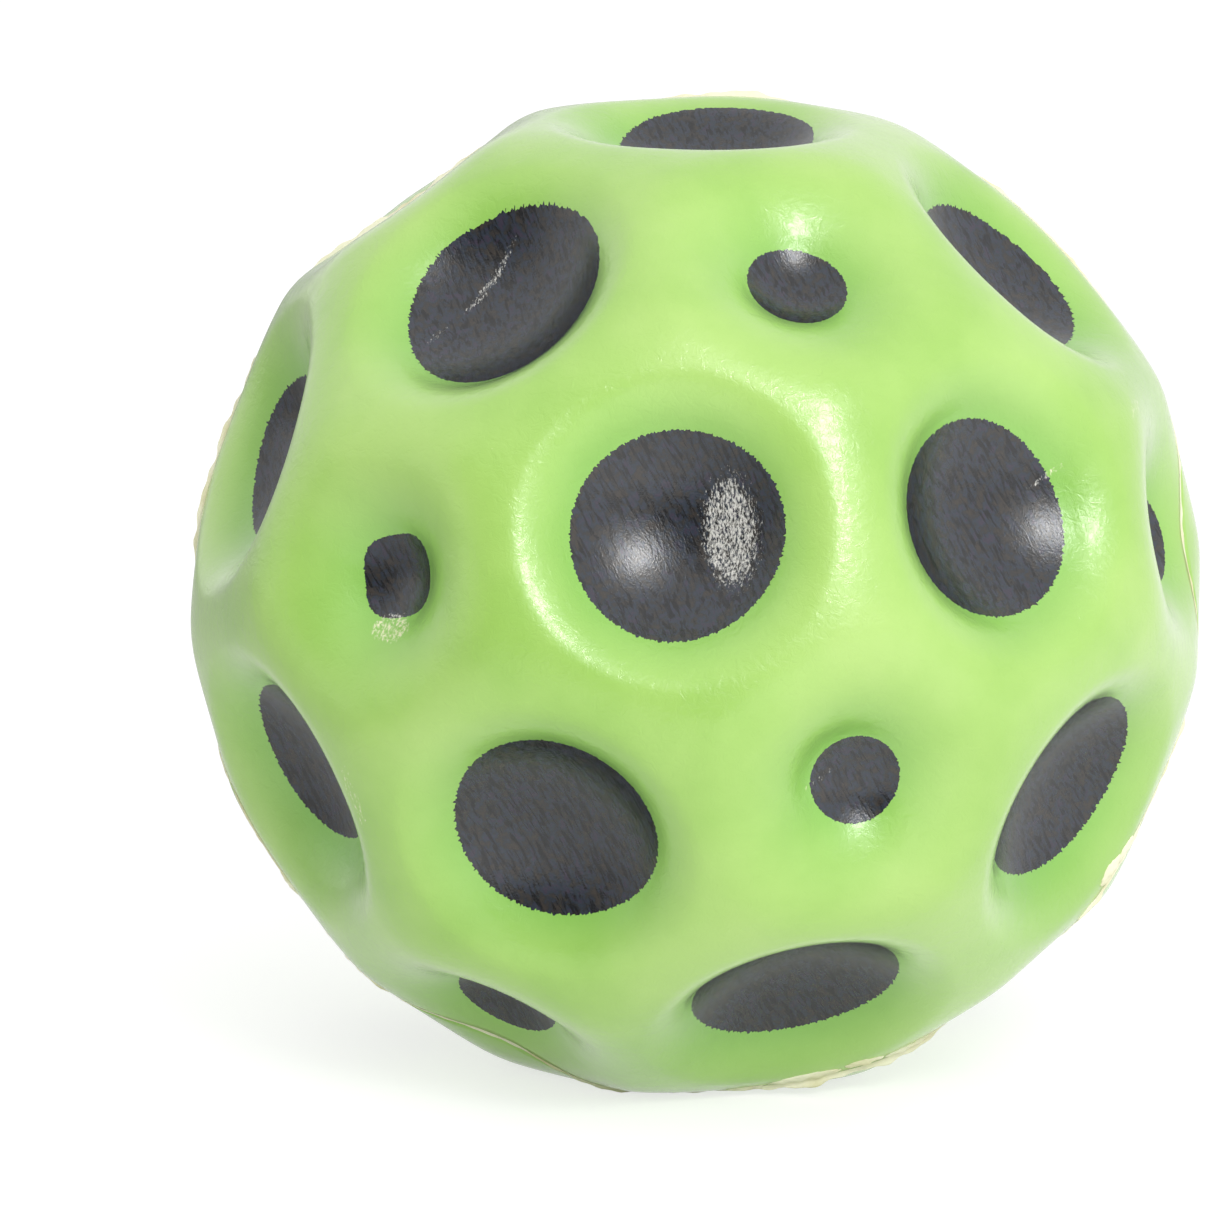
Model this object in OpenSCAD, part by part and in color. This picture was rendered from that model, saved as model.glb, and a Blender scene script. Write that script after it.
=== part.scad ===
/* [Ball] */
// Diameter across the ridges between the craters
ball_d = 70; // [60:1:80]
// Angle at which a crater's rounded lip runs out into the round surface, in degrees
lip_break = 7; // [5:0.5:10]
// Depth to which the soft rim is pressed flat where the ball stands on it
rest_flat = 0.05; // [0.03:0.01:0.07]

/* [Large craters] */
// Half angle that a large crater's mouth covers, seen from the ball's centre
large_mouth = 20.6; // [19.6:0.1:20.7]
// Depth of a large crater below the round surface
large_depth = 5.8; // [5:0.1:6.8]
// Half angle that the black print on a large crater's floor covers
large_print = 12.4; // [11.5:0.1:13]

/* [Small craters] */
// Half angle that a small crater's mouth covers, seen from the ball's centre
small_mouth = 16.2; // [15:0.1:16.4]
// Depth of a small crater below the round surface
small_depth = 3.7; // [3:0.1:4.2]
// Half angle that the black print on a small crater's floor covers
small_print = 5.7; // [5:0.1:6.2]

/* [Skin and print] */
// Thickness of the green skin that lines each half of the mould
skin_t = 0.6; // [0.4:0.05:1]
// Thickness of the black print on a crater's floor
print_t = 0.15; // [0.1:0.01:0.25]

/* [Parting line] */
// Thickness of the foam squeezed between the two halves of the skin
flash_t = 0.5; // [0.3:0.05:0.8]
// Least and greatest height of the ragged flash above the skin
flash_low = 0.2; // [0.1:0.05:0.3]
flash_high = 0.7; // [0.4:0.05:0.9]

/* [Hidden] */

ball_r = ball_d / 2;
$fn = 96;
// How far a cut runs on outside the ball
overrun = 0.4;
// How far the bowl's arc and the lip's arc lap over each other where they meet
lap = 0.012;
// Turn of the lip's arc past the ball's round surface, in degrees
lip_past = 4;
// Points round the ragged flash, and the waves that make it uneven
flash_points = 60;
wave_counts = [5, 11, 17];
wave_shares = [0.45, 0.35, 0.2];

// The large craters lie on the corners of a dodecahedron and the small ones on
// the corners of the icosahedron that fits it, as on a stitched football.
// The ball stands on one large crater, so the axis through it points up.
golden = (1 + sqrt(5)) / 2;
signs = [-1, 1];
right_way = [-1, 1, 0] / sqrt(2);
back_way = [-1, -1, 2] / sqrt(6);
up_way = [1, 1, 1] / sqrt(3);
function turned(v) = [v * right_way, v * back_way, v * up_way] / norm(v);

large_ways = concat(
    [for (a = signs, b = signs, c = signs) turned([a, b, c])],
    [for (a = signs, b = signs) each [
        turned([0, a * golden, b / golden]),
        turned([a * golden, b / golden, 0]),
        turned([b / golden, 0, a * golden])
    ]]
);
small_ways = [for (a = signs, b = signs) each [
    turned([0, a, b * golden]),
    turned([a, b * golden, 0]),
    turned([b * golden, 0, a])
]];

// The mould opens along the axis of the crater at the front, so the parting
// plane is square to that axis.
front_way = turned([1, 1, -1]);

function two_digits(i) = i < 10 ? str("0", i) : str(i);
function large_name(i) = str("large_crater_print_", two_digits(i));
function small_name(i) = str("small_crater_print_", two_digits(i));

// Each kind of crater is [mouth, depth, print]
large = [large_mouth, large_depth, large_print];
small = [small_mouth, small_depth, small_print];
craters = [for (way = large_ways) [way, large], for (way = small_ways) [way, small]];

// A crater's outline, in a plane through its axis, is a bowl arc that runs on
// into a lip arc of the opposite bend, and the lip ends on the round surface.
// The bowl carries the print, and the two arcs touch at the print's edge.
function mouth_point(kind) = ball_r * [sin(kind[0]), cos(kind[0])];
function lip_end(kind) = kind[0] - lip_break;
function floor_z(kind) = ball_r - kind[1];
// The height at which the arcs touch is the root of a quadratic: the chord of
// each arc makes half the arc's turn with the line that the arcs share there.
function edge_root(mouth, low, spread, bend) =
    let (
        square_term = bend * (1 + spread * spread),
        line_term = mouth[0] + spread * (low - mouth[1])
            - bend * (spread * mouth[0] + mouth[1] + low),
        still_term = low * (bend * mouth[1] - mouth[0])
    )
    (sqrt(line_term * line_term - 4 * square_term * still_term) - line_term)
    / (2 * square_term);
function edge_z(kind) =
    edge_root(mouth_point(kind), floor_z(kind), tan(kind[2]), tan(lip_end(kind) / 2));
function edge_x(kind) = edge_z(kind) * tan(kind[2]);
function edge_slope(kind) = 2 * atan2(edge_z(kind) - floor_z(kind), edge_x(kind));
function bowl_r(kind) = edge_x(kind) / sin(edge_slope(kind));
function bowl_z(kind) = floor_z(kind) + bowl_r(kind);
function lip_r(kind) =
    (mouth_point(kind)[0] - edge_x(kind)) / (sin(edge_slope(kind)) + sin(lip_end(kind)));
function lip_centre(kind) = mouth_point(kind) - lip_r(kind) * [sin(lip_end(kind)), cos(lip_end(kind))];
function side_x(kind) = lip_centre(kind)[0] + lip_r(kind) * sin(lip_end(kind) + lip_past);

// The space that one crater takes out of the ball. grow is how far the surface
// is moved outwards: 0 on the skin, less than 0 under it.
module crater_cut(kind, grow) {
    lip = lip_centre(kind);
    side = side_x(kind);
    top = ball_r + grow + overrun;
    rotate_extrude() {
        intersection() {
            translate([0, bowl_z(kind)]) circle(bowl_r(kind) - grow + lap);
            square([side, top]);
        }
        difference() {
            polygon([
                [0, edge_z(kind)], [lip[0], edge_z(kind)], [side, lip[1]], [side, top], [0, top]
            ]);
            translate(lip) circle(lip_r(kind) + grow);
        }
    }
}

// Turns the Z axis to the given direction
module facing(way) {
    rotate([0, atan2(norm([way[0], way[1]]), way[2]), atan2(way[1], way[0])]) children();
}

// The ball with its surface moved outwards by grow, after the first so many of
// the listed craters are cut into it one by one
module cratered_ball(grow, list, many) {
    if (many == 0) sphere(r = ball_r + grow);
    else difference() {
        cratered_ball(grow, list, many - 1);
        facing(list[many - 1][0]) crater_cut(list[many - 1][1], grow);
    }
}

// How far in front of the parting plane a crater's mouth begins and ends
function mouth_height(crater, side) = crater[0] * front_way + side * sin(crater[1][0]);
function reaches(crater, side) = side * mouth_height(crater, side) > 0;

// Level that the ball stands on: the crest of the lip round the lowest crater,
// where the foam gives a little
rest_z = -(lip_centre(large)[1] + lip_r(large) - rest_flat);

// Keeps what lies above the level that the ball stands on
module set_down() {
    intersection() {
        children();
        translate([-ball_d, -ball_d, rest_z]) cube(2 * ball_d);
    }
}

// Half of the space round the ball, in front of the parting plane or behind it
module mould_half(side) {
    facing(side * front_way)
        translate([-ball_d, -ball_d, flash_t / 2]) cube(2 * ball_d);
}

module skin_half(side) {
    list = [for (crater = craters) if (reaches(crater, side)) crater];
    difference() {
        intersection() {
            cratered_ball(0, list, len(list));
            mould_half(side);
        }
        cratered_ball(-skin_t, list, len(list));
    }
}

// Height of the flash above the skin at a given angle round the ball
function wave(angle) = sum_of([for (k = [0:2])
    wave_shares[k] * (1 + sin(wave_counts[k] * angle + angle * sin(angle))) / 2]);
function sum_of(list) = list * [for (item = list) 1];
function flash_r(angle) = ball_r + flash_low + (flash_high - flash_low) * wave(angle);

// The disc of foam in the parting plane, with its ragged edge
module parting_disc() {
    facing(front_way) linear_extrude(flash_t, center = true)
        polygon([for (i = [0:flash_points - 1]) let (angle = 360 * i / flash_points)
            flash_r(angle) * [cos(angle), sin(angle)]]);
}

module foam_core() {
    crossed = [for (crater = craters) if (reaches(crater, 1) && reaches(crater, -1)) crater];
    color("moccasin") union() {
        cratered_ball(-skin_t, craters, len(craters));
        set_down() intersection() {
            cratered_ball(flash_high, crossed, len(crossed));
            parting_disc();
        }
    }
}

module front_skin() {
    color("yellowgreen") skin_half(1);
}

module rear_skin() {
    color("yellowgreen") set_down() skin_half(-1);
}

// The black print on a crater's floor, seated on the bowl and as wide as it
module crater_print(kind, way) {
    color("dimgray") facing(way) rotate_extrude() difference() {
        intersection() {
            translate([0, bowl_z(kind)]) circle(bowl_r(kind) + lap);
            square([bowl_r(kind), edge_z(kind)]);
        }
        translate([0, bowl_z(kind)]) circle(bowl_r(kind) - print_t);
    }
}

foam_core();
front_skin();
rear_skin();
for (i = [1:20])
    crater_print(large, large_ways[i - 1]);
for (i = [1:12])
    crater_print(small, small_ways[i - 1]);
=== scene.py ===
import math

import bpy
import numpy as np
from mathutils import Matrix, Vector


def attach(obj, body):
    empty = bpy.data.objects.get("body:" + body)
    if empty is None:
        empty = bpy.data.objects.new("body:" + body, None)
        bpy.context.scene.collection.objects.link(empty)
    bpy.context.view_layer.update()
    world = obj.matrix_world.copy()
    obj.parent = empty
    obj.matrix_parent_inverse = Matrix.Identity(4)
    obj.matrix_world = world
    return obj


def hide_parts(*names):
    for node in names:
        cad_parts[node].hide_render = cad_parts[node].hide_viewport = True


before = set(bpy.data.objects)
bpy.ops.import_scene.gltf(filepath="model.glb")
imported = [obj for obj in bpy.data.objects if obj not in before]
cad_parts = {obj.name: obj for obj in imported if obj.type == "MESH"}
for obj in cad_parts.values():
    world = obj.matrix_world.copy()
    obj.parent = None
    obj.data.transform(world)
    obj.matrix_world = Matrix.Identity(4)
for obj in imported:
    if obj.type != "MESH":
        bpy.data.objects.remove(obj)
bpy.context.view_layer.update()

mm = 0.001

# The ball, measured as in the CAD model, in mm
ball = {
    "radius": 35.3,               # of the round surface that the craters' lips run out into
    "skinThick": 0.6,
    "standLevel": 32.88,          # from the centre down to the floor, where the soft lip gives a little
    "profilePoints": 1200,        # along a crater's outline
    "unevenness": 0.04,           # depth of the moulded surface's slow waves
    # these waves: how fast each runs to the right, to the back and up, and where it starts
    "swell": ((7.1, 3.3, -4.2), 1.0),
    "crossSwell": ((-2.9, 6.1, 5.3), 0.4),
    "ripple": ((-11.0, 8.2, 9.1), 0.0),
    "rippleShare": 0.4,
    "fullShadeDepth": 4.2,               # below the round surface, where the coat's painted shade is full
    "shadeFalloff": 1.4,             # more than 1 keeps that painted shade off the ridges
}

# A crater's outline as (distance from its axis, slope in degrees): arcs run from each to the next,
# and the last lip arc bends on until it lies along the round surface
largeCrater = {
    "outline": [(0, 0), (7.6, 40.8), (10.1, 15.5), (11.15, -6.0)],
    "lipRadius": 14.5,            # of that last arc
    "print": 7.15,                # radius of the print on the crater's floor
}
smallCrater = {
    "outline": [(0, 0), (3.6, 37.0), (7.3, 13.5)],
    "lipRadius": 8.0,
    "print": 3.16,
}

# Crater directions: large ones on a dodecahedron, small ones on its icosahedron
golden = (1 + math.sqrt(5)) / 2
rightWay = np.array([-1, 1, 0]) / math.sqrt(2)
backWay = np.array([-1, -1, 2]) / math.sqrt(6)
upWay = np.array([1, 1, 1]) / math.sqrt(3)


def turned(v):
    v = np.array(v, float)
    return np.array([v @ rightWay, v @ backWay, v @ upWay]) / np.linalg.norm(v)


def craterWays():
    signs = (-1, 1)
    large = [turned((a, b, c)) for a in signs for b in signs for c in signs]
    small = []
    for a in signs:
        for b in signs:
            large += [turned((0, a * golden, b / golden)), turned((a * golden, b / golden, 0)),
                      turned((b / golden, 0, a * golden))]
            small += [turned((0, a, b * golden)), turned((a, b * golden, 0)), turned((b * golden, 0, a))]
    return large, small


largeWays, smallWays = craterWays()
frontWay = turned((1, 1, -1))


def craterProfile(kind):
    # Angles from the crater's axis, and how deep the surface lies there below the round ball
    outX, slope = np.array(kind["outline"], float).T
    lean = np.sin(np.radians(slope))
    endLean = (outX[-1] / kind["lipRadius"] + lean[-1]) / (ball["radius"] / kind["lipRadius"] - 1)
    endX = ball["radius"] * endLean
    x = np.linspace(0, endX, ball["profilePoints"])
    sine = np.interp(x, np.append(outX, endX), np.append(lean, -endLean))
    tangent = sine / np.sqrt(1 - sine ** 2)
    rise = np.concatenate([[0], np.cumsum((tangent[1:] + tangent[:-1]) / 2 * np.diff(x))])
    z = rise - rise[-1] + math.sqrt(ball["radius"] ** 2 - endX ** 2)
    kind["edge"] = (kind["print"], float(np.interp(kind["print"], x, z)))
    print("crater mouth, floor, crest, print's edge:", round(endX, 2), round(z[0], 2), round(z.max(), 2),
          round(kind["edge"][1], 2))
    return np.arctan2(x, z), ball["radius"] - np.hypot(x, z)


largeProfile = craterProfile(largeCrater)
smallProfile = craterProfile(smallCrater)


def waveOver(ways, run, start):
    return np.sin(ways @ np.array(run) + start)


def surfaceRadius(ways):
    # Distance of the coat from the ball's centre in the given directions, in mm
    depth = np.zeros(len(ways))
    for axes, (angles, depths) in ((largeWays, largeProfile), (smallWays, smallProfile)):
        for axis in axes:
            gamma = np.arccos(np.clip(ways @ axis, -1, 1))
            depth += np.interp(gamma, angles, depths, right=0)
    waves = waveOver(ways, *ball["swell"]) * waveOver(ways, *ball["crossSwell"])
    waves += ball["rippleShare"] * waveOver(ways, *ball["ripple"])
    highest = 1 + ball["rippleShare"]
    reach = ball["radius"] - depth - ball["unevenness"] * (highest + waves) / highest
    return np.minimum(reach, ball["standLevel"] / np.maximum(-ways[:, 2], 1e-6))


def basisFor(axis):
    # Two directions square to the axis
    helper = np.array([0, 0, 1.0]) if abs(axis[2]) < 0.9 else np.array([1.0, 0, 0])
    u = np.cross(helper, axis)
    u /= np.linalg.norm(u)
    return u, np.cross(axis, u)


def wayAt(axis, theta, phi):
    # Directions at the angle theta from the axis, and phi round it
    u, v = basisFor(axis)
    s = np.sin(theta)
    return (np.cos(theta)[:, None] * axis + (s * np.cos(phi))[:, None] * u + (s * np.sin(phi))[:, None] * v)


def zipRings(a, b):
    # Triangles between two rings of points that start at the same angle
    faces, i, j = [], 0, 0
    na, nb = len(a), len(b)
    while i < na or j < nb:
        if j >= nb or (i < na and (i + 1) * nb <= (j + 1) * na):
            faces.append((a[i % na], b[j % nb], a[(i + 1) % na]))
            i += 1
        else:
            faces.append((a[i % na], b[j % nb], b[(j + 1) % nb]))
            j += 1
    return faces


def discRings(count, edgePoints=None):
    # Rings of a round patch: (share of the way to the rim, angles) for each ring
    rings = [(0.0, np.zeros(1))]
    for k in range(1, count + 1):
        points = 6 * k if k < count or not edgePoints else edgePoints
        rings.append((k / count, np.arange(points) * 2 * math.pi / points))
    return rings


def layRings(rings, place, start, flip):
    # Points, faces and rim of a patch whose rings are placed by place(share, angles)
    points, faces, last, nextId = [], [], None, start
    for share, angles in rings:
        points.append(place(share, angles))
        ring = list(range(nextId, nextId + len(angles)))
        nextId += len(angles)
        if last is not None:
            if len(last) == 1:
                faces += [(last[0], ring[i], ring[(i + 1) % len(ring)]) for i in range(len(ring))]
            else:
                faces += zipRings(last, ring)
        last = ring
    if flip:
        faces = [f[::-1] for f in faces]
    return np.concatenate(points), faces, last


def meshPiece(name, points, faces, material, rim=()):
    # A piece from points in mm, with its wear and the painted shade of its depth in the craters kept for
    # the materials
    mesh = bpy.data.meshes.new(name)
    mesh.from_pydata((points * mm).tolist(), [], faces)
    mesh.validate()
    mesh.polygons.foreach_set("use_smooth", [True] * len(mesh.polygons))
    distances = np.linalg.norm(points, axis=1)
    wear = scuffWear(points / distances[:, None])
    # how much painted shade the coat gets, from the depth below the round surface
    hollow = np.clip((ball["radius"] - distances) / ball["fullShadeDepth"], 0, 1) ** ball["shadeFalloff"]
    for kept, values in (("wear", wear), ("hollow", hollow)):
        mesh.attributes.new(kept, "FLOAT", "POINT").data.foreach_set("value", values.astype(np.float32))
    if len(rim):
        # the shading breaks at the rim
        ends = np.empty(2 * len(mesh.edges), dtype=np.int32)
        mesh.edges.foreach_get("vertices", ends)
        sharp = np.isin(ends.reshape(-1, 2), rim).all(axis=1)
        mesh.attributes.new("sharp_edge", "BOOLEAN", "EDGE").data.foreach_set("value", sharp)
    mesh.update()
    piece = bpy.data.objects.new(name, mesh)
    bpy.context.scene.collection.objects.link(piece)
    mesh.materials.append(material)
    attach(piece, "root")
    return piece


def smoothNoise(seed, angles, waves, falloff=0.7):
    # A ragged line round a ring, about -1 to 1, from a few seeded waves
    rng = np.random.default_rng(seed)
    out = np.zeros(len(angles))
    total = 0
    for k, count in enumerate(waves):
        weight = falloff ** k
        out += weight * np.sin(count * angles + rng.uniform(0, 2 * math.pi)) * rng.uniform(0.7, 1)
        total += weight
    return out / total


def linear(hexColour):
    # sRGB hex to linear RGBA
    out = []
    for i in (0, 2, 4):
        c = int(hexColour[i:i + 2], 16) / 255
        out.append(c / 12.92 if c <= 0.04045 else ((c + 0.055) / 1.055) ** 2.4)
    return (*out, 1.0)


def addNode(tree, kind, settings=None, links=None):
    # A node with its settings, and links given as input name or number: output socket. The stops of a
    # colour ramp are given as (place, hex colour).
    node = tree.nodes.new(kind)
    for key, value in (settings or {}).items():
        if key == "stops":
            elements = node.color_ramp.elements
            while len(elements) < len(value):
                elements.new(0.5)
            for element, (place, colour) in zip(elements, value):
                element.position = place
                element.color = linear(colour)
        elif isinstance(key, int) or key in node.inputs:
            node.inputs[key].default_value = value
        else:
            setattr(node, key, value)
    for key, socket in (links or {}).items():
        tree.links.new(socket, node.inputs[key])
    return node


def newMaterial(name):
    material = bpy.data.materials.new(name)
    material.use_nodes = True
    tree = material.node_tree
    tree.nodes.clear()
    return material, tree


# Scuffs: the middle's direction from the ball's centre, the way the scuff runs, its half length and
# half width in mm, and how worn it is
scuffs = [
    ((0.121, -0.932, 0.343), (0.10, -0.33, -0.94), 6.0, 3.0, 1.0),
    ((-0.455, -0.400, 0.795), (0.62, 0.42, 0.62), 5.2, 0.55, 0.9),
    ((-0.560, -0.480, 0.675), (0.49, 0.58, 0.65), 2.2, 0.5, 0.75),
    ((0.775, -0.505, 0.383), (0.37, 0.84, 0.40), 2.2, 0.4, 0.9),
    ((-0.597, -0.795, 0.085), (0.81, -0.58, 0.03), 2.6, 1.4, 0.95),
    ((-0.328, -0.825, 0.459), (0.92, -0.18, 0.34), 2.0, 0.4, 0.5),
    ((-0.362, -0.931, 0.044), (0.90, -0.36, -0.26), 0.7, 0.5, 0.6),
    ((-0.076, -0.727, 0.682), (0.97, -0.23, -0.13), 0.9, 0.4, 0.5),
    ((-0.338, -0.787, -0.516), (0.89, -0.10, -0.43), 1.8, 0.7, 0.5),
    ((0.620, 0.740, 0.260), (0.30, 0.10, -0.95), 3.6, 0.9, 0.8),
    ((-0.300, 0.930, 0.210), (0.80, 0.30, 0.50), 3.0, 0.6, 0.7),
    ((-0.860, 0.250, -0.440), (0.20, 0.95, 0.20), 2.6, 0.8, 0.8),
]

# How a scuff breaks up into bare specks
scuffLook = {
    "radius": 31.0,                # mm from the ball's centre to where the sizes above are measured
    "fullness": 1.3,               # more than 1 widens the fully worn middle
    "lean": -6,                    # degrees that the strokes lean from straight up
    "stretch": (1.0, 1.4, 2.6),    # how a speck is drawn out to the right, to the back and up
    # level of the noise from which a place is bare, where it is unworn and where it is worn most
    "unworn": 0.95,
    "worn": 0.43,
    "fadeIn": 0.16,                # rise of the noise over which a speck fades in
    "cover": 0.95,                 # how much of the bare colour a speck shows
}


def scuffWear(ways):
    wear = np.zeros(len(ways))
    for middle, along, halfLength, halfWidth, worn in scuffs:
        middle = np.array(middle) / np.linalg.norm(middle)
        along = np.array(along) - np.dot(along, middle) * middle
        along /= np.linalg.norm(along)
        away = (ways - middle) * scuffLook["radius"]
        spread = (away @ along / halfLength) ** 2 + (away @ np.cross(middle, along) / halfWidth) ** 2
        wear = np.maximum(wear, worn * np.clip(scuffLook["fullness"] * (1 - spread), 0, 1))
    return wear


def scuffSpecks(tree, place, spacing):
    worn = addNode(tree, "ShaderNodeAttribute", {"attribute_name": "wear"}).outputs["Fac"]
    stroke = addNode(tree, "ShaderNodeMapping",
                     {"vector_type": "TEXTURE", "Rotation": (0.0, math.radians(scuffLook["lean"]), 0.0),
                      "Scale": scuffLook["stretch"]}, {"Vector": place})
    noise = addNode(tree, "ShaderNodeTexNoise",
                    {"Scale": 1 / (spacing * mm), "Detail": 3.0, "Roughness": 0.75},
                    {"Vector": stroke.outputs["Vector"]})
    # The more a place is worn, the more of the noise shows as bare specks
    level = addNode(tree, "ShaderNodeMapRange",
                    {"To Min": scuffLook["unworn"], "To Max": scuffLook["worn"]}, {"Value": worn})
    over = addNode(tree, "ShaderNodeMath", {"operation": "SUBTRACT"},
                   {0: noise.outputs["Fac"], 1: level.outputs["Result"]})
    return addNode(tree, "ShaderNodeMapRange",
                   {"From Max": scuffLook["fadeIn"], "To Max": scuffLook["cover"]},
                   {"Value": over.outputs[0]}).outputs["Result"]


# Green polyurethane coat, sprayed in the mould: it looks like a satin colour under a thin clear film, with
# small sharp glints on the mould's fine leathery wrinkles. In the craters a darker green is painted as
# shade, full where they go down furthest, and the coat is pale where it is scuffed through to the foam.
coat = {
    "clouds": [(0.36, "9BC859"), (0.5, "A6D065"), (0.66, "B0D671")],
    "cloud": 13.0,            # mm across these cloudy patches
    "hollow": "66B83C",       # painted shade in the craters, and how much of it shows where they go down furthest
    "paintedShadeShare": 0.55,
    "scuffed": "F1EFC9",
    "speck": 0.22,            # mm between scuffed specks
    "wrinkle": 0.7,           # mm between wrinkles
    "wrinkleDepth": 0.045,    # mm
    "roughness": 0.42,        # of the colour under the film
    "scuffedRoughness": 0.6,
    "ior": 1.5,               # of polyurethane
    "film": 1.0,              # weight of the clear film
    "filmRoughness": 0.11,
}


def greenCoat():
    material, tree = newMaterial("polyurethane coat, moulded")
    place = addNode(tree, "ShaderNodeNewGeometry").outputs["Position"]
    clouds = addNode(tree, "ShaderNodeTexNoise", {"Scale": 1 / (coat["cloud"] * mm), "Detail": 4.0},
                     {"Vector": place})
    colour = addNode(tree, "ShaderNodeValToRGB", {"stops": coat["clouds"]}, {"Fac": clouds.outputs["Fac"]})
    wrinkles = addNode(tree, "ShaderNodeTexNoise",
                       {"Scale": 1 / (coat["wrinkle"] * mm), "Detail": 5.0, "Roughness": 0.62,
                        "Distortion": 0.9}, {"Vector": place})
    specks = scuffSpecks(tree, place, coat["speck"])
    # painted shade: a darker green mixed into the coat by its depth in the craters
    hollow = addNode(tree, "ShaderNodeAttribute", {"attribute_name": "hollow"}).outputs["Fac"]
    shadeAmount = addNode(tree, "ShaderNodeMath",
                      {"operation": "MULTIPLY", 1: coat["paintedShadeShare"]}, {0: hollow})
    shadedColour = addNode(tree, "ShaderNodeMix", {"data_type": "RGBA", 7: linear(coat["hollow"])},
                     {0: shadeAmount.outputs[0], 6: colour.outputs["Color"]})
    shown = addNode(tree, "ShaderNodeMix", {"data_type": "RGBA", 7: linear(coat["scuffed"])},
                    {0: specks, 6: shadedColour.outputs[2]})
    rough = addNode(tree, "ShaderNodeMapRange",
                    {"To Min": coat["roughness"], "To Max": coat["scuffedRoughness"]}, {"Value": specks})
    bump = addNode(tree, "ShaderNodeBump", {"Strength": 1.0, "Distance": coat["wrinkleDepth"] * mm},
                   {"Height": wrinkles.outputs["Fac"]})
    shader = addNode(tree, "ShaderNodeBsdfPrincipled",
                     {"IOR": coat["ior"], "Coat IOR": coat["ior"], "Coat Weight": coat["film"],
                      "Coat Roughness": coat["filmRoughness"]},
                     {"Base Color": shown.outputs[2], "Roughness": rough.outputs["Result"],
                      "Normal": bump.outputs["Normal"], "Coat Normal": bump.outputs["Normal"]})
    addNode(tree, "ShaderNodeOutputMaterial", {}, {"Surface": shader.outputs["BSDF"]})
    return material


# Black ink, pad printed: glossy and faintly coloured in small patches, with the wavy lines of its film,
# and grey where it is scuffed
ink = {
    "patches": [(0.34, "36303F"), (0.45, "2A333F"), (0.54, "2C2C2E"), (0.66, "38322D")],
    "patch": 0.7,                  # mm across these patches of violet, blue, grey and rust
    "groove": "0F0F11",
    "line": 0.24,                  # mm between the film's lines
    "lineLean": -28,               # degrees that they lean, so that they run down and to the right
    "lineStretch": (1.0, 2.8, 6.0),
    # level of the lines' noise up to which a groove is full, where it ends, and how dark it is
    "grooveFull": 0.38,
    "grooveEnd": 0.5,
    "grooveDark": 0.85,
    "scuffed": "DAD8D2",
    "speck": 0.13,                 # mm between scuffed specks
    "grain": 0.12,                 # mm across the film's grain, drawn coarser than real so that it shows
    "grainDepth": 0.02,            # mm
    "roughness": 0.16,
    "ior": 1.65,                   # a film full of carbon black
}


def blackInk():
    material, tree = newMaterial("black ink, pad printed")
    place = addNode(tree, "ShaderNodeNewGeometry").outputs["Position"]
    patches = addNode(tree, "ShaderNodeTexNoise",
                      {"Scale": 1 / (ink["patch"] * mm), "Detail": 3.0, "Roughness": 0.6},
                      {"Vector": place})
    colour = addNode(tree, "ShaderNodeValToRGB", {"stops": ink["patches"]}, {"Fac": patches.outputs["Fac"]})
    slant = addNode(tree, "ShaderNodeMapping",
                    {"vector_type": "TEXTURE", "Rotation": (0.0, math.radians(ink["lineLean"]), 0.0),
                     "Scale": ink["lineStretch"]}, {"Vector": place})
    lines = addNode(tree, "ShaderNodeTexNoise",
                    {"Scale": 1 / (ink["line"] * mm), "Detail": 2.0, "Roughness": 0.5, "Distortion": 0.5},
                    {"Vector": slant.outputs["Vector"]})
    grooves = addNode(tree, "ShaderNodeMapRange",
                      {"From Min": ink["grooveFull"], "From Max": ink["grooveEnd"],
                       "To Min": ink["grooveDark"], "To Max": 0.0}, {"Value": lines.outputs["Fac"]})
    lined = addNode(tree, "ShaderNodeMix", {"data_type": "RGBA", 7: linear(ink["groove"])},
                    {0: grooves.outputs["Result"], 6: colour.outputs["Color"]})
    specks = scuffSpecks(tree, place, ink["speck"])
    shown = addNode(tree, "ShaderNodeMix", {"data_type": "RGBA", 7: linear(ink["scuffed"])},
                    {0: specks, 6: lined.outputs[2]})
    grain = addNode(tree, "ShaderNodeTexNoise", {"Scale": 1 / (ink["grain"] * mm), "Detail": 2.0},
                    {"Vector": place})
    height = addNode(tree, "ShaderNodeMath", {"operation": "ADD"},
                     {0: grain.outputs["Fac"], 1: lines.outputs["Fac"]})
    bump = addNode(tree, "ShaderNodeBump", {"Strength": 1.0, "Distance": ink["grainDepth"] * mm},
                   {"Height": height.outputs[0]})
    shader = addNode(tree, "ShaderNodeBsdfPrincipled", {"Roughness": ink["roughness"], "IOR": ink["ior"]},
                     {"Base Color": shown.outputs[2], "Normal": bump.outputs["Normal"]})
    addNode(tree, "ShaderNodeOutputMaterial", {}, {"Surface": shader.outputs["BSDF"]})
    return material


# Polyurethane foam, moulded, and torn at the parting line: matt ivory with an open grain and faint stains
foam = {
    "stains": [(0.5, "F8F5DA"), (0.72, "E2DCAE")],
    "stain": 4.0,            # mm across the stains
    "grain": 0.35,           # mm across the foam's cells, drawn coarser than real so that they show
    "grainDepth": 0.08,      # mm
    "grainStrength": 0.6,
    "roughness": 0.8,
    "ior": 1.5,
}


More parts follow.
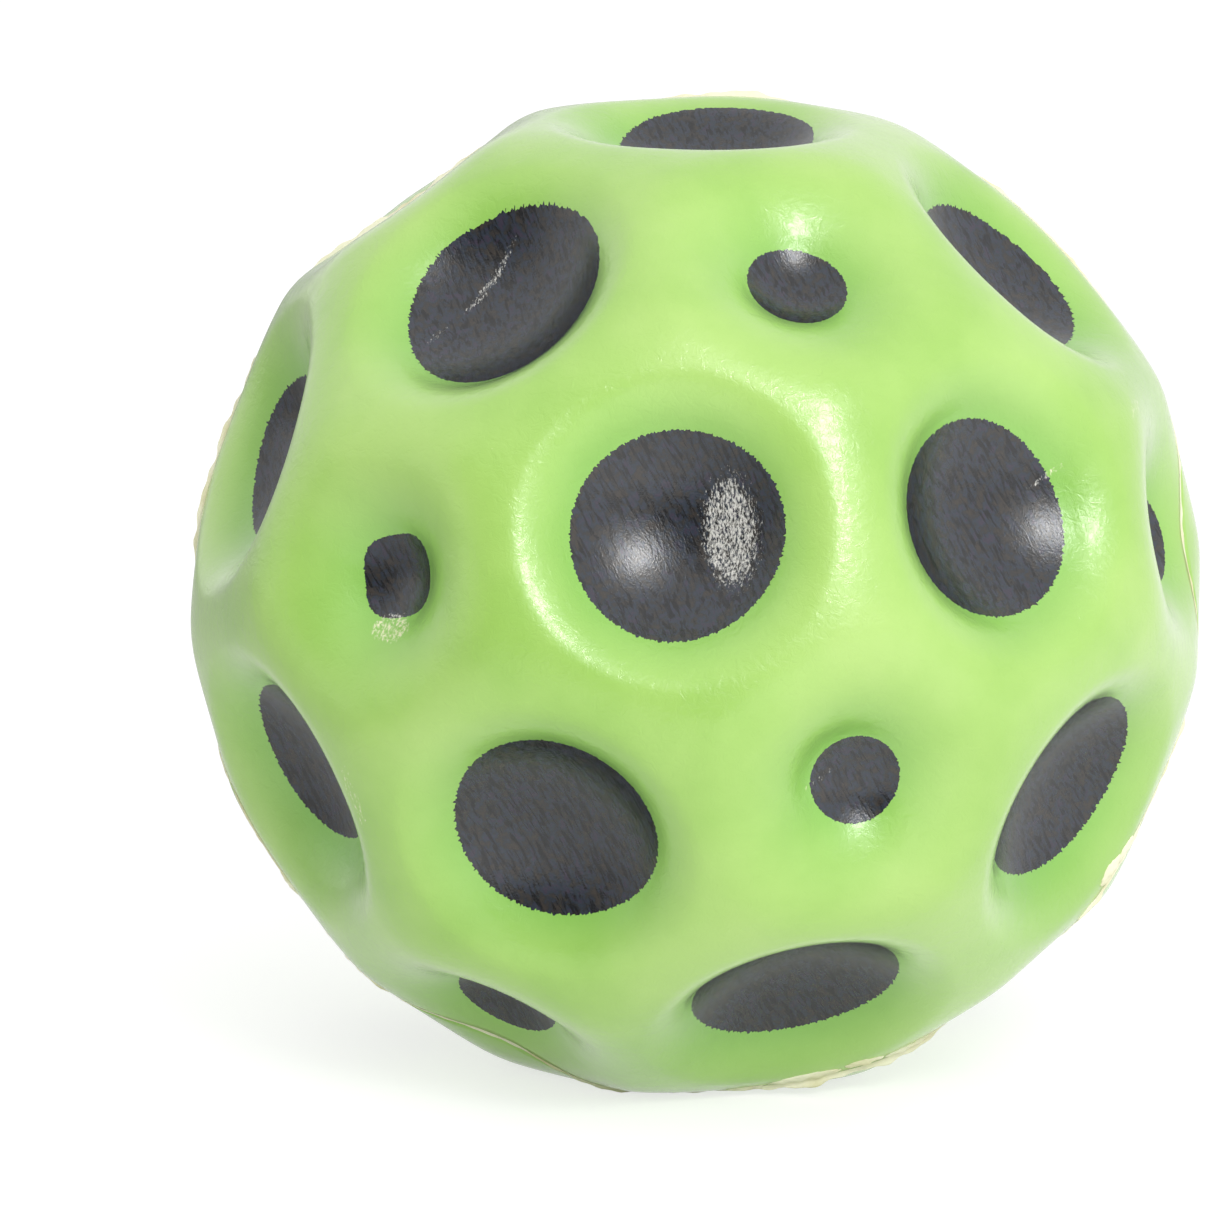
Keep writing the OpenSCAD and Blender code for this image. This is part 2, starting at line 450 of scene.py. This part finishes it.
def creamFoam():
    material, tree = newMaterial("polyurethane foam, moulded")
    place = addNode(tree, "ShaderNodeNewGeometry").outputs["Position"]
    stains = addNode(tree, "ShaderNodeTexNoise", {"Scale": 1 / (foam["stain"] * mm), "Detail": 4.0},
                     {"Vector": place})
    colour = addNode(tree, "ShaderNodeValToRGB", {"stops": foam["stains"]}, {"Fac": stains.outputs["Fac"]})
    grain = addNode(tree, "ShaderNodeTexNoise", {"Scale": 1 / (foam["grain"] * mm), "Detail": 3.0},
                    {"Vector": place})
    bump = addNode(tree, "ShaderNodeBump",
                   {"Strength": foam["grainStrength"], "Distance": foam["grainDepth"] * mm},
                   {"Height": grain.outputs["Fac"]})
    shader = addNode(tree, "ShaderNodeBsdfPrincipled", {"Roughness": foam["roughness"], "IOR": foam["ior"]},
                     {"Base Color": colour.outputs["Color"], "Normal": bump.outputs["Normal"]})
    addNode(tree, "ShaderNodeOutputMaterial", {}, {"Surface": shader.outputs["BSDF"]})
    return material


coatMaterial = greenCoat()
inkMaterial = blackInk()
foamMaterial = creamFoam()
print("materials made")


# Parting line: foam squeezed out between the two halves of the coat. Angles go round the line in degrees
# from the ball's right, over the top; sizes are in mm.
parting = {
    "thick": 0.32,
    "lap": 0.06,             # by which the coat's edge lies over the flash on each side
    "gap": 0.045,            # by which that edge wanders
    "coatRadius": 34.6,      # from the ball's centre to that edge
    "coreRadius": 34.4,      # and to the foam's edge under it
    "seat": 0.01,            # between the coat's inner side and the foam
    "low": -0.03,            # least and greatest height of the flash over the coat, outside the tufts
    "high": 0.17,
    "reach": 35.4,           # from the centre that the flash stays within
    "overFloor": 0.02,       # and that it stays clear of the floor
    # the flash's section: share of its thickness in front of the line, and share of its height
    "section": [(0.5, 0.75), (0.3, 1.0), (-0.3, 0.95), (-0.5, 0.7)],
    "ragged": (3, 7, 13, 29, 47, 83, 131),    # waves round the line
    "raggedMiddle": 0.3,     # share of the greatest height about which they swing, and how far
    "raggedSwing": 1.1,
    "raggedFalloff": 0.9,    # weight of each wave against the one before
    "wander": (11, 31, 67),  # waves in which the flash bends to and fro
    "wanderBy": 0.12,
    "coatSeed": 21,          # seeds of the waves
    "raggedSeed": 5,
    "wanderSeed": 9,
    "skinRings": 156,
    "innerRings": 52,
    "flashPoints": 624,      # round the flash
    # places where the flash stands higher: angle, half width in degrees, height
    "tufts": [(122, 5, 0.5), (131, 4, 0.6), (141, 6, 0.45), (152, 4, 0.55), (163, 7, 0.5), (176, 4, 0.35),
              (214, 5, 0.4), (229, 5, 0.45), (262, 5, 0.35), (284, 7, 0.5), (297, 5, 0.55), (326, 5, 0.6),
              (344, 4, 0.3), (20, 6, 0.3), (58, 5, 0.35), (88, 6, 0.4)],
    "tuftLeast": 0.25,       # share of a tuft's height that is left in its gaps
}


def partingAngles(side, angles):
    # Polar angle, from the half's own pole, at which the coat ends
    wander = 1 + smoothNoise(parting["coatSeed"] + side, angles, parting["ragged"])
    gap = parting["thick"] / 2 - parting["lap"] + parting["gap"] * wander
    return np.arccos(gap / parting["coatRadius"])


def skinHalf(name, side):
    axis = frontWay * side

    def placeAt(thick):
        def place(share, angles):
            theta = share * partingAngles(side, angles)
            ways = wayAt(axis, theta, angles)
            return ways * (surfaceRadius(ways) - thick)[:, None]
        return place

    outer, faces, outerRim = layRings(discRings(parting["skinRings"]), placeAt(0), 0, False)
    inner, innerFaces, innerRim = layRings(discRings(parting["innerRings"]), placeAt(ball["skinThick"]),
                                           len(outer), True)
    faces += innerFaces + zipRings(outerRim, innerRim)
    return meshPiece(name, np.concatenate([outer, inner]), faces, coatMaterial)


for name, node, side in (("frontSkin", "front_skin", 1), ("rearSkin", "rear_skin", -1)):
    half = skinHalf(name, side)
    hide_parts(node)
print("skin halves made")


# The ball stands on the lip round its lowest crater, looked for between these angles from straight down
standing = {
    "from": 12,
    "to": 24,
    "steps": 200,
    "around": 60,
}


def lowestPoint():
    theta = np.radians(np.linspace(standing["from"], standing["to"], standing["steps"]))
    phi = np.linspace(0, 2 * math.pi, standing["around"])
    ways = wayAt(np.array([0, 0, -1.0]), np.repeat(theta, len(phi)), np.tile(phi, len(theta)))
    return float(-(ways[:, 2] * surfaceRadius(ways)).min())


restHeight = lowestPoint()
print("rests at", round(restHeight, 3))


def foamCore():
    # The foam body under the coat, with the ragged flash standing out of the parting line
    count = parting["flashPoints"]
    angles = np.arange(count) * 2 * math.pi / count
    under = ball["skinThick"] + parting["seat"]
    rimAngle = math.acos(parting["thick"] / 2 / parting["coreRadius"])

    def placeAt(side):
        def place(share, angles):
            theta = np.full(len(angles), share * rimAngle)
            ways = wayAt(frontWay, theta if side > 0 else math.pi - theta, angles)
            return ways * (surfaceRadius(ways) - under)[:, None]
        return place

    rings = discRings(parting["innerRings"], count)
    front, faces, frontRim = layRings(rings, placeAt(1), 0, False)
    rear, rearFaces, rearRim = layRings(rings, placeAt(-1), len(front), True)
    faces += rearFaces
    noise = smoothNoise(parting["raggedSeed"], angles, parting["ragged"], parting["raggedFalloff"])
    ragged = np.clip(parting["raggedMiddle"] + parting["raggedSwing"] * noise, 0, 1)
    height = parting["low"] + (parting["high"] - parting["low"]) * ragged
    least = parting["tuftLeast"]
    for middle, halfWidth, rise in parting["tufts"]:
        away = (np.degrees(angles) - middle + 180) % 360 - 180
        height = height + rise * np.exp(-(away / halfWidth) ** 2) * (least + (1 - least) * ragged)
    ways = wayAt(frontWay, np.full(count, math.pi / 2), angles)
    wander = parting["wanderBy"] * smoothNoise(parting["wanderSeed"], angles, parting["wander"])
    points = [front, rear]
    start = len(front) + len(rear)
    last = frontRim
    for forward, kept in parting["section"]:
        reach = np.minimum(surfaceRadius(ways) + height * kept, parting["reach"])
        ring = ways * reach[:, None] + frontWay * (parting["thick"] * forward + wander)[:, None]
        ring[:, 2] = np.maximum(ring[:, 2], parting["overFloor"] - restHeight)
        points.append(ring)
        ids = list(range(start, start + count))
        start += count
        faces += zipRings(last, ids)
        last = ids
    faces += zipRings(last, rearRim)
    return meshPiece("foamCore", np.concatenate(points), faces, foamMaterial)


core = foamCore()
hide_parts("foam_core")
print("foam core made")


# Torn flakes of foam that lie over the coat beside the parting line
flakes = {
    # angle round the line in degrees, then in mm: distance in front of the line, half length along it,
    # half width across it, and thickness
    "places": [(284, 0.7, 2.6, 0.4, 0.2), (291, 0.9, 1.3, 0.35, 0.22), (277, 0.4, 1.3, 0.3, 0.2),
               (297, 0.7, 1.9, 0.45, 0.22), (304, 0.3, 1.0, 0.3, 0.2), (327, 0.9, 1.3, 0.45, 0.24),
               (330, 0.5, 1.0, 0.4, 0.22), (322, 0.2, 1.0, 0.25, 0.18), (229, 0.2, 1.5, 0.3, 0.22),
               (217, 0.1, 1.0, 0.3, 0.22), (163, -0.2, 1.5, 0.3, 0.2), (146, -0.3, 1.2, 0.25, 0.2),
               (128, -0.3, 1.6, 0.3, 0.2), (78, -0.35, 1.8, 0.3, 0.18), (43, -0.3, 1.4, 0.25, 0.18),
               (187, -0.35, 1.5, 0.3, 0.2)],
    "seed": 300,
    "edgeWaves": (2, 3, 5, 9, 14, 21),
    "edgeFalloff": 0.9,
    "torn": 0.3,             # share by which the edge comes and goes
    # lumps: how fast they follow each other along and across, and the thickness about which they swing
    "lumpWaves": (5.1, 7.3),
    "lumpMiddle": 0.8,
    "lumpSwing": 0.35,
    "edgeThin": 0.75,        # share of the thickness that is gone at the edge
    "sunk": 0.08,            # mm that the underside lies in the coat
    "topRings": 8,
    "underRings": 4,
}


def tornFlakes():
    points, faces, start = [], [], 0
    alongWave, acrossWave = flakes["lumpWaves"]
    for number, (angle, forward, halfLength, halfWidth, thick) in enumerate(flakes["places"]):
        out = wayAt(frontWay, np.array([math.pi / 2]), np.radians([angle]))[0]
        along = np.cross(frontWay, out)

        def placeAt(top):
            def place(share, angles):
                noise = smoothNoise(flakes["seed"] + number, angles, flakes["edgeWaves"],
                                    flakes["edgeFalloff"])
                torn = 1 + flakes["torn"] * noise
                x = halfLength * share * torn * np.cos(angles)
                y = forward + halfWidth * share * torn * np.sin(angles)
                ways = out * parting["coatRadius"] + x[:, None] * along + y[:, None] * frontWay
                ways /= np.linalg.norm(ways, axis=1)[:, None]
                lumps = np.sin(x * alongWave + number) * np.sin(y * acrossWave + 2 * number)
                lumps = flakes["lumpMiddle"] + flakes["lumpSwing"] * lumps
                lift = thick * lumps * (1 - flakes["edgeThin"] * share ** 3) if top else -flakes["sunk"]
                ring = ways * (surfaceRadius(ways) + lift)[:, None]
                ring[:, 2] = np.maximum(ring[:, 2], -ball["standLevel"])
                return ring
            return place

        topRings = discRings(flakes["topRings"], 9 * flakes["topRings"])
        underRings = discRings(flakes["underRings"], 9 * flakes["underRings"])
        top, topFaces, topRim = layRings(topRings, placeAt(True), start, False)
        under, underFaces, underRim = layRings(underRings, placeAt(False), start + len(top), True)
        points += [top, under]
        faces += topFaces + underFaces + zipRings(topRim, underRim)
        start += len(top) + len(under)
    return meshPiece("foamFlakes", np.concatenate(points), faces, foamMaterial)


torn = tornFlakes()
print("foam flakes made")


# Printed crater floors, in mm
printed = {
    "proud": 0.02,           # that the ink's top lies over the coat
    "edge": -0.01,           # and the same at its edge, which dives into the coat
    "under": 0.1,            # that its underside lies below the coat
    "drift": 0.3,            # that a print may lie off its crater's axis
    "sizeDrift": 0.015,      # share by which its size may differ
    "toothFade": 8,          # how fast the teeth of its edge fade inwards
    "toothFalloff": 0.93,
    "oval": 0.012,           # share by which a print is drawn out two ways, and three ways
    "threeWays": 0.008,
    # one small print came out as a rounded square: how square, its turn in radians, size and flatness
    "squareness": 2.8,
    "squareTurn": 0.27,
    "squareSize": 0.97,
    "squareFlat": 1.06,
}
largePrint = {
    "crater": largeCrater,
    "rings": 22,
    "edgePoints": 900,
    "tooth": 0.14,           # mm that the ragged edge comes and goes
    "teeth": (57, 83, 113, 149, 191, 229),    # its waves round the print
    "seed": 100,
    # prints that show: mm to the right and up from the crater's axis, and size
    "seen": {7: (0.13, -0.04, 1.01), 14: (0.0, 0.15, 1.01), 15: (-0.07, -0.2, 0.98), 19: (0.3, 0.6, 1.03),
             11: (0.1, 0.4, 1.03), 3: (0.4, 0.35, 1.01), 5: (-1.0, 0.1, 0.86), 18: (0.3, 1.2, 0.93),
             8: (0.7, 1.7, 0.97), 16: (-0.6, 0.8, 0.86)},
}
smallPrint = {
    "crater": smallCrater,
    "rings": 12,
    "edgePoints": 420,
    "tooth": 0.1,
    "teeth": (29, 41, 57, 73, 89, 107),
    "seed": 200,
    "seen": {7: (0.45, -0.4, 1.0), 11: (0.15, -0.1, 1.1), 6: (0.1, 0.13, 1.0), 1: (-0.1, -0.8, 1.18),
             5: (0.9, 0.2, 1.05)},
    "square": 6,             # the rounded square
}


def craterPrint(name, axis, sort, number):
    seed = sort["seed"] + number
    rng = np.random.default_rng(seed)
    right, up, size = sort["seen"].get(number) or (*rng.normal(0, printed["drift"], 2),
                                                   rng.normal(1, printed["sizeDrift"]))
    edgeX, edgeZ = sort["crater"]["edge"]
    u = np.array([1.0, 0, 0]) - axis[0] * axis
    u /= np.linalg.norm(u)
    middle = axis + (right * u + up * np.cross(axis, u)) / edgeZ
    middle /= np.linalg.norm(middle)
    limit = math.atan2(edgeX * size, edgeZ)

    def placeAt(over):
        def place(share, angles):
            ragged = smoothNoise(seed, angles, sort["teeth"], printed["toothFalloff"])
            rim = limit + share ** printed["toothFade"] * sort["tooth"] / edgeZ * ragged
            if number == sort.get("square"):
                corner, turn = printed["squareness"], printed["squareTurn"]
                wide, high = np.abs(np.cos(angles - turn)), np.abs(np.sin(angles - turn))
                square = (wide ** corner + (printed["squareFlat"] * high) ** corner) ** (1 / corner)
                rim = rim * printed["squareSize"] / square
            else:
                rim = rim * (1 + printed["oval"] * np.sin(2 * angles + seed)
                             + printed["threeWays"] * np.sin(3 * angles + 2 * seed))
            ways = wayAt(middle, share * rim, angles)
            lift = printed["edge"] if share == 1 else printed["proud"]
            return ways * (surfaceRadius(ways) + (lift if over else -printed["under"]))[:, None]
        return place

    topRings = discRings(sort["rings"], sort["edgePoints"])
    underRings = discRings(sort["rings"] // 2, sort["edgePoints"] // 2)
    top, faces, topRim = layRings(topRings, placeAt(True), 0, False)
    under, underFaces, underRim = layRings(underRings, placeAt(False), len(top), True)
    faces += underFaces + zipRings(topRim, underRim)
    return meshPiece(name, np.concatenate([top, under]), faces, inkMaterial, topRim)


for i, axis in enumerate(largeWays, 1):
    patch = craterPrint(f"largeCraterPrint{i:02d}", axis, largePrint, i)
    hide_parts(f"large_crater_print_{i:02d}")
for i, axis in enumerate(smallWays, 1):
    patch = craterPrint(f"smallCraterPrint{i:02d}", axis, smallPrint, i)
    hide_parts(f"small_crater_print_{i:02d}")
print("crater prints made")


# Viewing angle and lens that match the photograph, with the ball's centre and radius in its pixels
photoView = {
    "azimuth": 3.0,
    "elevation": 12.5,
    "roll": 0.6,
    "ballRadius": 34.73,          # mm that radiusPixels spans
    "distance": 20.0,             # in such radii
    "centrePixel": (697.0, 591.5),
    "radiusPixels": 503.0,
    "framePixels": 1220.0,
    "sensor": 36.0,
    "clip": (0.05, 20),           # metres
}

# Floor and light
studio = {
    "worldLight": 0.86,
    # how much of the white the room's dark side takes away, its direction and where it begins and is full
    "darkInGloss": (0.85, (-0.45, -0.02, 0.89), 0.45, 0.95),
    "darkInLight": (0.6, (-0.97, 0.05, 0.22), 0.3, 0.95),
    "darkFade": (0.4, 0.85),      # heights over which it ends, as the upward share of a direction
    "floorSize": 3.0,             # metres from the ball to the floor's sides
    "floorColour": "F2F2F2",
    "floorShade": "B4B4B4",       # the floor's colour as the camera sees it, under the glow
    "floorGlow": 0.7,
    "floorGlowLeft": 0.05,        # the same glow, as a gloss sees it on the dark side
    "floorFade": (-0.12, 0.02),   # metres to the right of the ball's middle, where it begins and is full
    # lamp directions as seen from the front: right, up, out
    "keyWay": (0.303, 0.405, 0.862),
    "keyDistance": 0.6,
    "keySize": (0.17, 0.17),
    "keyPower": 0.95,
    # the soft ring of light round the lamp
    "haloDistance": 0.62,
    "haloSize": (0.5, 0.5),
    "haloPower": 0.85,
}


def cameraWay():
    a, e = math.radians(photoView["azimuth"]), math.radians(photoView["elevation"])
    return Vector((math.sin(a) * math.cos(e), -math.cos(a) * math.cos(e), math.sin(e)))


def cameraTurn():
    roll = Matrix.Rotation(math.radians(photoView["roll"]), 3, "Z")
    return cameraWay().to_track_quat("Z", "Y").to_matrix() @ roll


def lampAt(name, way, distance, size, power):
    data = bpy.data.lights.new(name, "AREA")
    data.shape = "ELLIPSE"
    data.size, data.size_y = size
    data.energy = power
    lamp = bpy.data.objects.new(name, data)
    bpy.context.scene.collection.objects.link(lamp)
    way = (cameraTurn() @ Vector(way)).normalized()
    lamp.location = way * distance
    lamp.rotation_euler = way.to_track_quat("Z", "Y").to_euler()


def seenDirectly(tree, path):
    # 1 for what the camera, a gloss or a glass sees, 0 for what lights the ball
    seen = addNode(tree, "ShaderNodeMath", {"operation": "MAXIMUM"},
                   {0: path.outputs["Is Camera Ray"], 1: path.outputs["Is Glossy Ray"]})
    return addNode(tree, "ShaderNodeMath", {"operation": "MAXIMUM"},
                   {0: seen.outputs[0], 1: path.outputs["Is Transmission Ray"]}).outputs[0]


# White paper, pressed: matt, with a glow where it is seen that keeps it pale under the soft shadow
def floorMaterial():
    material, tree = newMaterial("paper, pressed")
    path = addNode(tree, "ShaderNodeLightPath")
    # In a gloss the floor darkens towards the room's dark side
    place = addNode(tree, "ShaderNodeNewGeometry").outputs["Position"]
    across = addNode(tree, "ShaderNodeSeparateXYZ", {}, {"Vector": place}).outputs["X"]
    begins, full = studio["floorFade"]
    side = addNode(tree, "ShaderNodeMapRange", {"From Min": begins, "From Max": full,
                                                "To Min": studio["floorGlowLeft"],
                                                "To Max": studio["floorGlow"]}, {"Value": across})
    bright = addNode(tree, "ShaderNodeMix", {"data_type": "FLOAT", 2: studio["floorGlow"]},
                     {0: path.outputs["Is Glossy Ray"], 3: side.outputs["Result"]})
    glow = addNode(tree, "ShaderNodeEmission", {"Color": (1, 1, 1, 1)}, {"Strength": bright.outputs[0]})
    shade = addNode(tree, "ShaderNodeBsdfDiffuse", {"Color": linear(studio["floorShade"])})
    shown = addNode(tree, "ShaderNodeAddShader", {}, {0: glow.outputs[0], 1: shade.outputs[0]})
    matt = addNode(tree, "ShaderNodeBsdfDiffuse", {"Color": linear(studio["floorColour"])})
    both = addNode(tree, "ShaderNodeMixShader", {},
                   {0: seenDirectly(tree, path), 1: matt.outputs[0], 2: shown.outputs[0]})
    addNode(tree, "ShaderNodeOutputMaterial", {}, {"Surface": both.outputs[0]})
    return material


def makeFloor():
    half = studio["floorSize"]
    z = -restHeight * mm
    mesh = bpy.data.meshes.new("studioFloor")
    corners = [(-half, -half, z), (half, -half, z), (half, half, z), (-half, half, z)]
    mesh.from_pydata(corners, [], [(0, 1, 2, 3)])
    mesh.materials.append(floorMaterial())
    floor = bpy.data.objects.new("studioFloor", mesh)
    bpy.context.scene.collection.objects.link(floor)


def makeWorld():
    world = bpy.data.worlds.new("studio")
    bpy.context.scene.world = world
    world.use_nodes = True
    tree = world.node_tree
    tree.nodes.clear()
    way = addNode(tree, "ShaderNodeTexCoord").outputs["Generated"]
    height = addNode(tree, "ShaderNodeSeparateXYZ", {}, {"Vector": way}).outputs["Z"]
    lowest, highest = studio["darkFade"]
    above = addNode(tree, "ShaderNodeMapRange",
                    {"interpolation_type": "SMOOTHSTEP", "From Min": lowest, "From Max": highest,
                     "To Min": 1.0, "To Max": 0.0}, {"Value": height})

    def darkened(share, darkWay, begins, full):
        # The room is darker to one side, in a low band
        dark = (cameraTurn() @ Vector(darkWay)).normalized()
        towards = addNode(tree, "ShaderNodeVectorMath",
                          {"operation": "DOT_PRODUCT", 1: tuple(dark)}, {0: way})
        near = addNode(tree, "ShaderNodeMapRange",
                       {"interpolation_type": "SMOOTHSTEP", "From Min": begins, "From Max": full},
                       {"Value": towards.outputs["Value"]})
        band = addNode(tree, "ShaderNodeMath", {"operation": "MULTIPLY"},
                       {0: near.outputs["Result"], 1: above.outputs["Result"]})
        level = addNode(tree, "ShaderNodeMapRange",
                        {"To Min": 1.0, "To Max": 1 - share}, {"Value": band.outputs[0]})
        return level.outputs["Result"]

    inGloss = darkened(*studio["darkInGloss"])
    inLight = addNode(tree, "ShaderNodeMath", {"operation": "MULTIPLY", 1: studio["worldLight"]},
                      {0: darkened(*studio["darkInLight"])})
    path = addNode(tree, "ShaderNodeLightPath")
    lit = addNode(tree, "ShaderNodeBackground", {"Color": (1, 1, 1, 1)}, {"Strength": inLight.outputs[0]})
    gloss = addNode(tree, "ShaderNodeBackground", {"Color": (1, 1, 1, 1)}, {"Strength": inGloss})
    white = addNode(tree, "ShaderNodeBackground", {"Color": (1, 1, 1, 1), "Strength": 1.0})
    around = addNode(tree, "ShaderNodeMixShader", {},
                     {0: seenDirectly(tree, path), 1: lit.outputs[0], 2: gloss.outputs[0]})
    shown = addNode(tree, "ShaderNodeMixShader", {},
                    {0: path.outputs["Is Camera Ray"], 1: around.outputs[0], 2: white.outputs[0]})
    addNode(tree, "ShaderNodeOutputWorld", {}, {"Surface": shown.outputs[0]})


def makeCamera():
    # The ball's outline is seen at radiusPixels, so the lens follows from the distance
    distance, size = photoView["distance"], photoView["framePixels"]
    focalPixels = photoView["radiusPixels"] * math.sqrt(distance * distance - 1)
    centreX, centreY = photoView["centrePixel"]
    data = bpy.data.cameras.new("camera")
    data.sensor_width = photoView["sensor"]
    data.sensor_fit = "HORIZONTAL"
    data.lens = focalPixels / size * photoView["sensor"]
    data.shift_x = -(centreX - size / 2) / size
    data.shift_y = (centreY - size / 2) / size
    data.clip_start, data.clip_end = photoView["clip"]
    camera = bpy.data.objects.new("camera", data)
    bpy.context.scene.collection.objects.link(camera)
    far = distance * photoView["ballRadius"] * mm
    camera.matrix_world = Matrix.Translation(cameraWay() * far) @ cameraTurn().to_4x4()
    bpy.context.scene.camera = camera


lampAt("keyLight", studio["keyWay"], studio["keyDistance"], studio["keySize"], studio["keyPower"])
lampAt("haloLight", studio["keyWay"], studio["haloDistance"], studio["haloSize"], studio["haloPower"])
makeFloor()
makeWorld()
makeCamera()
bpy.context.scene.view_settings.view_transform = "Standard"
print("studio made")
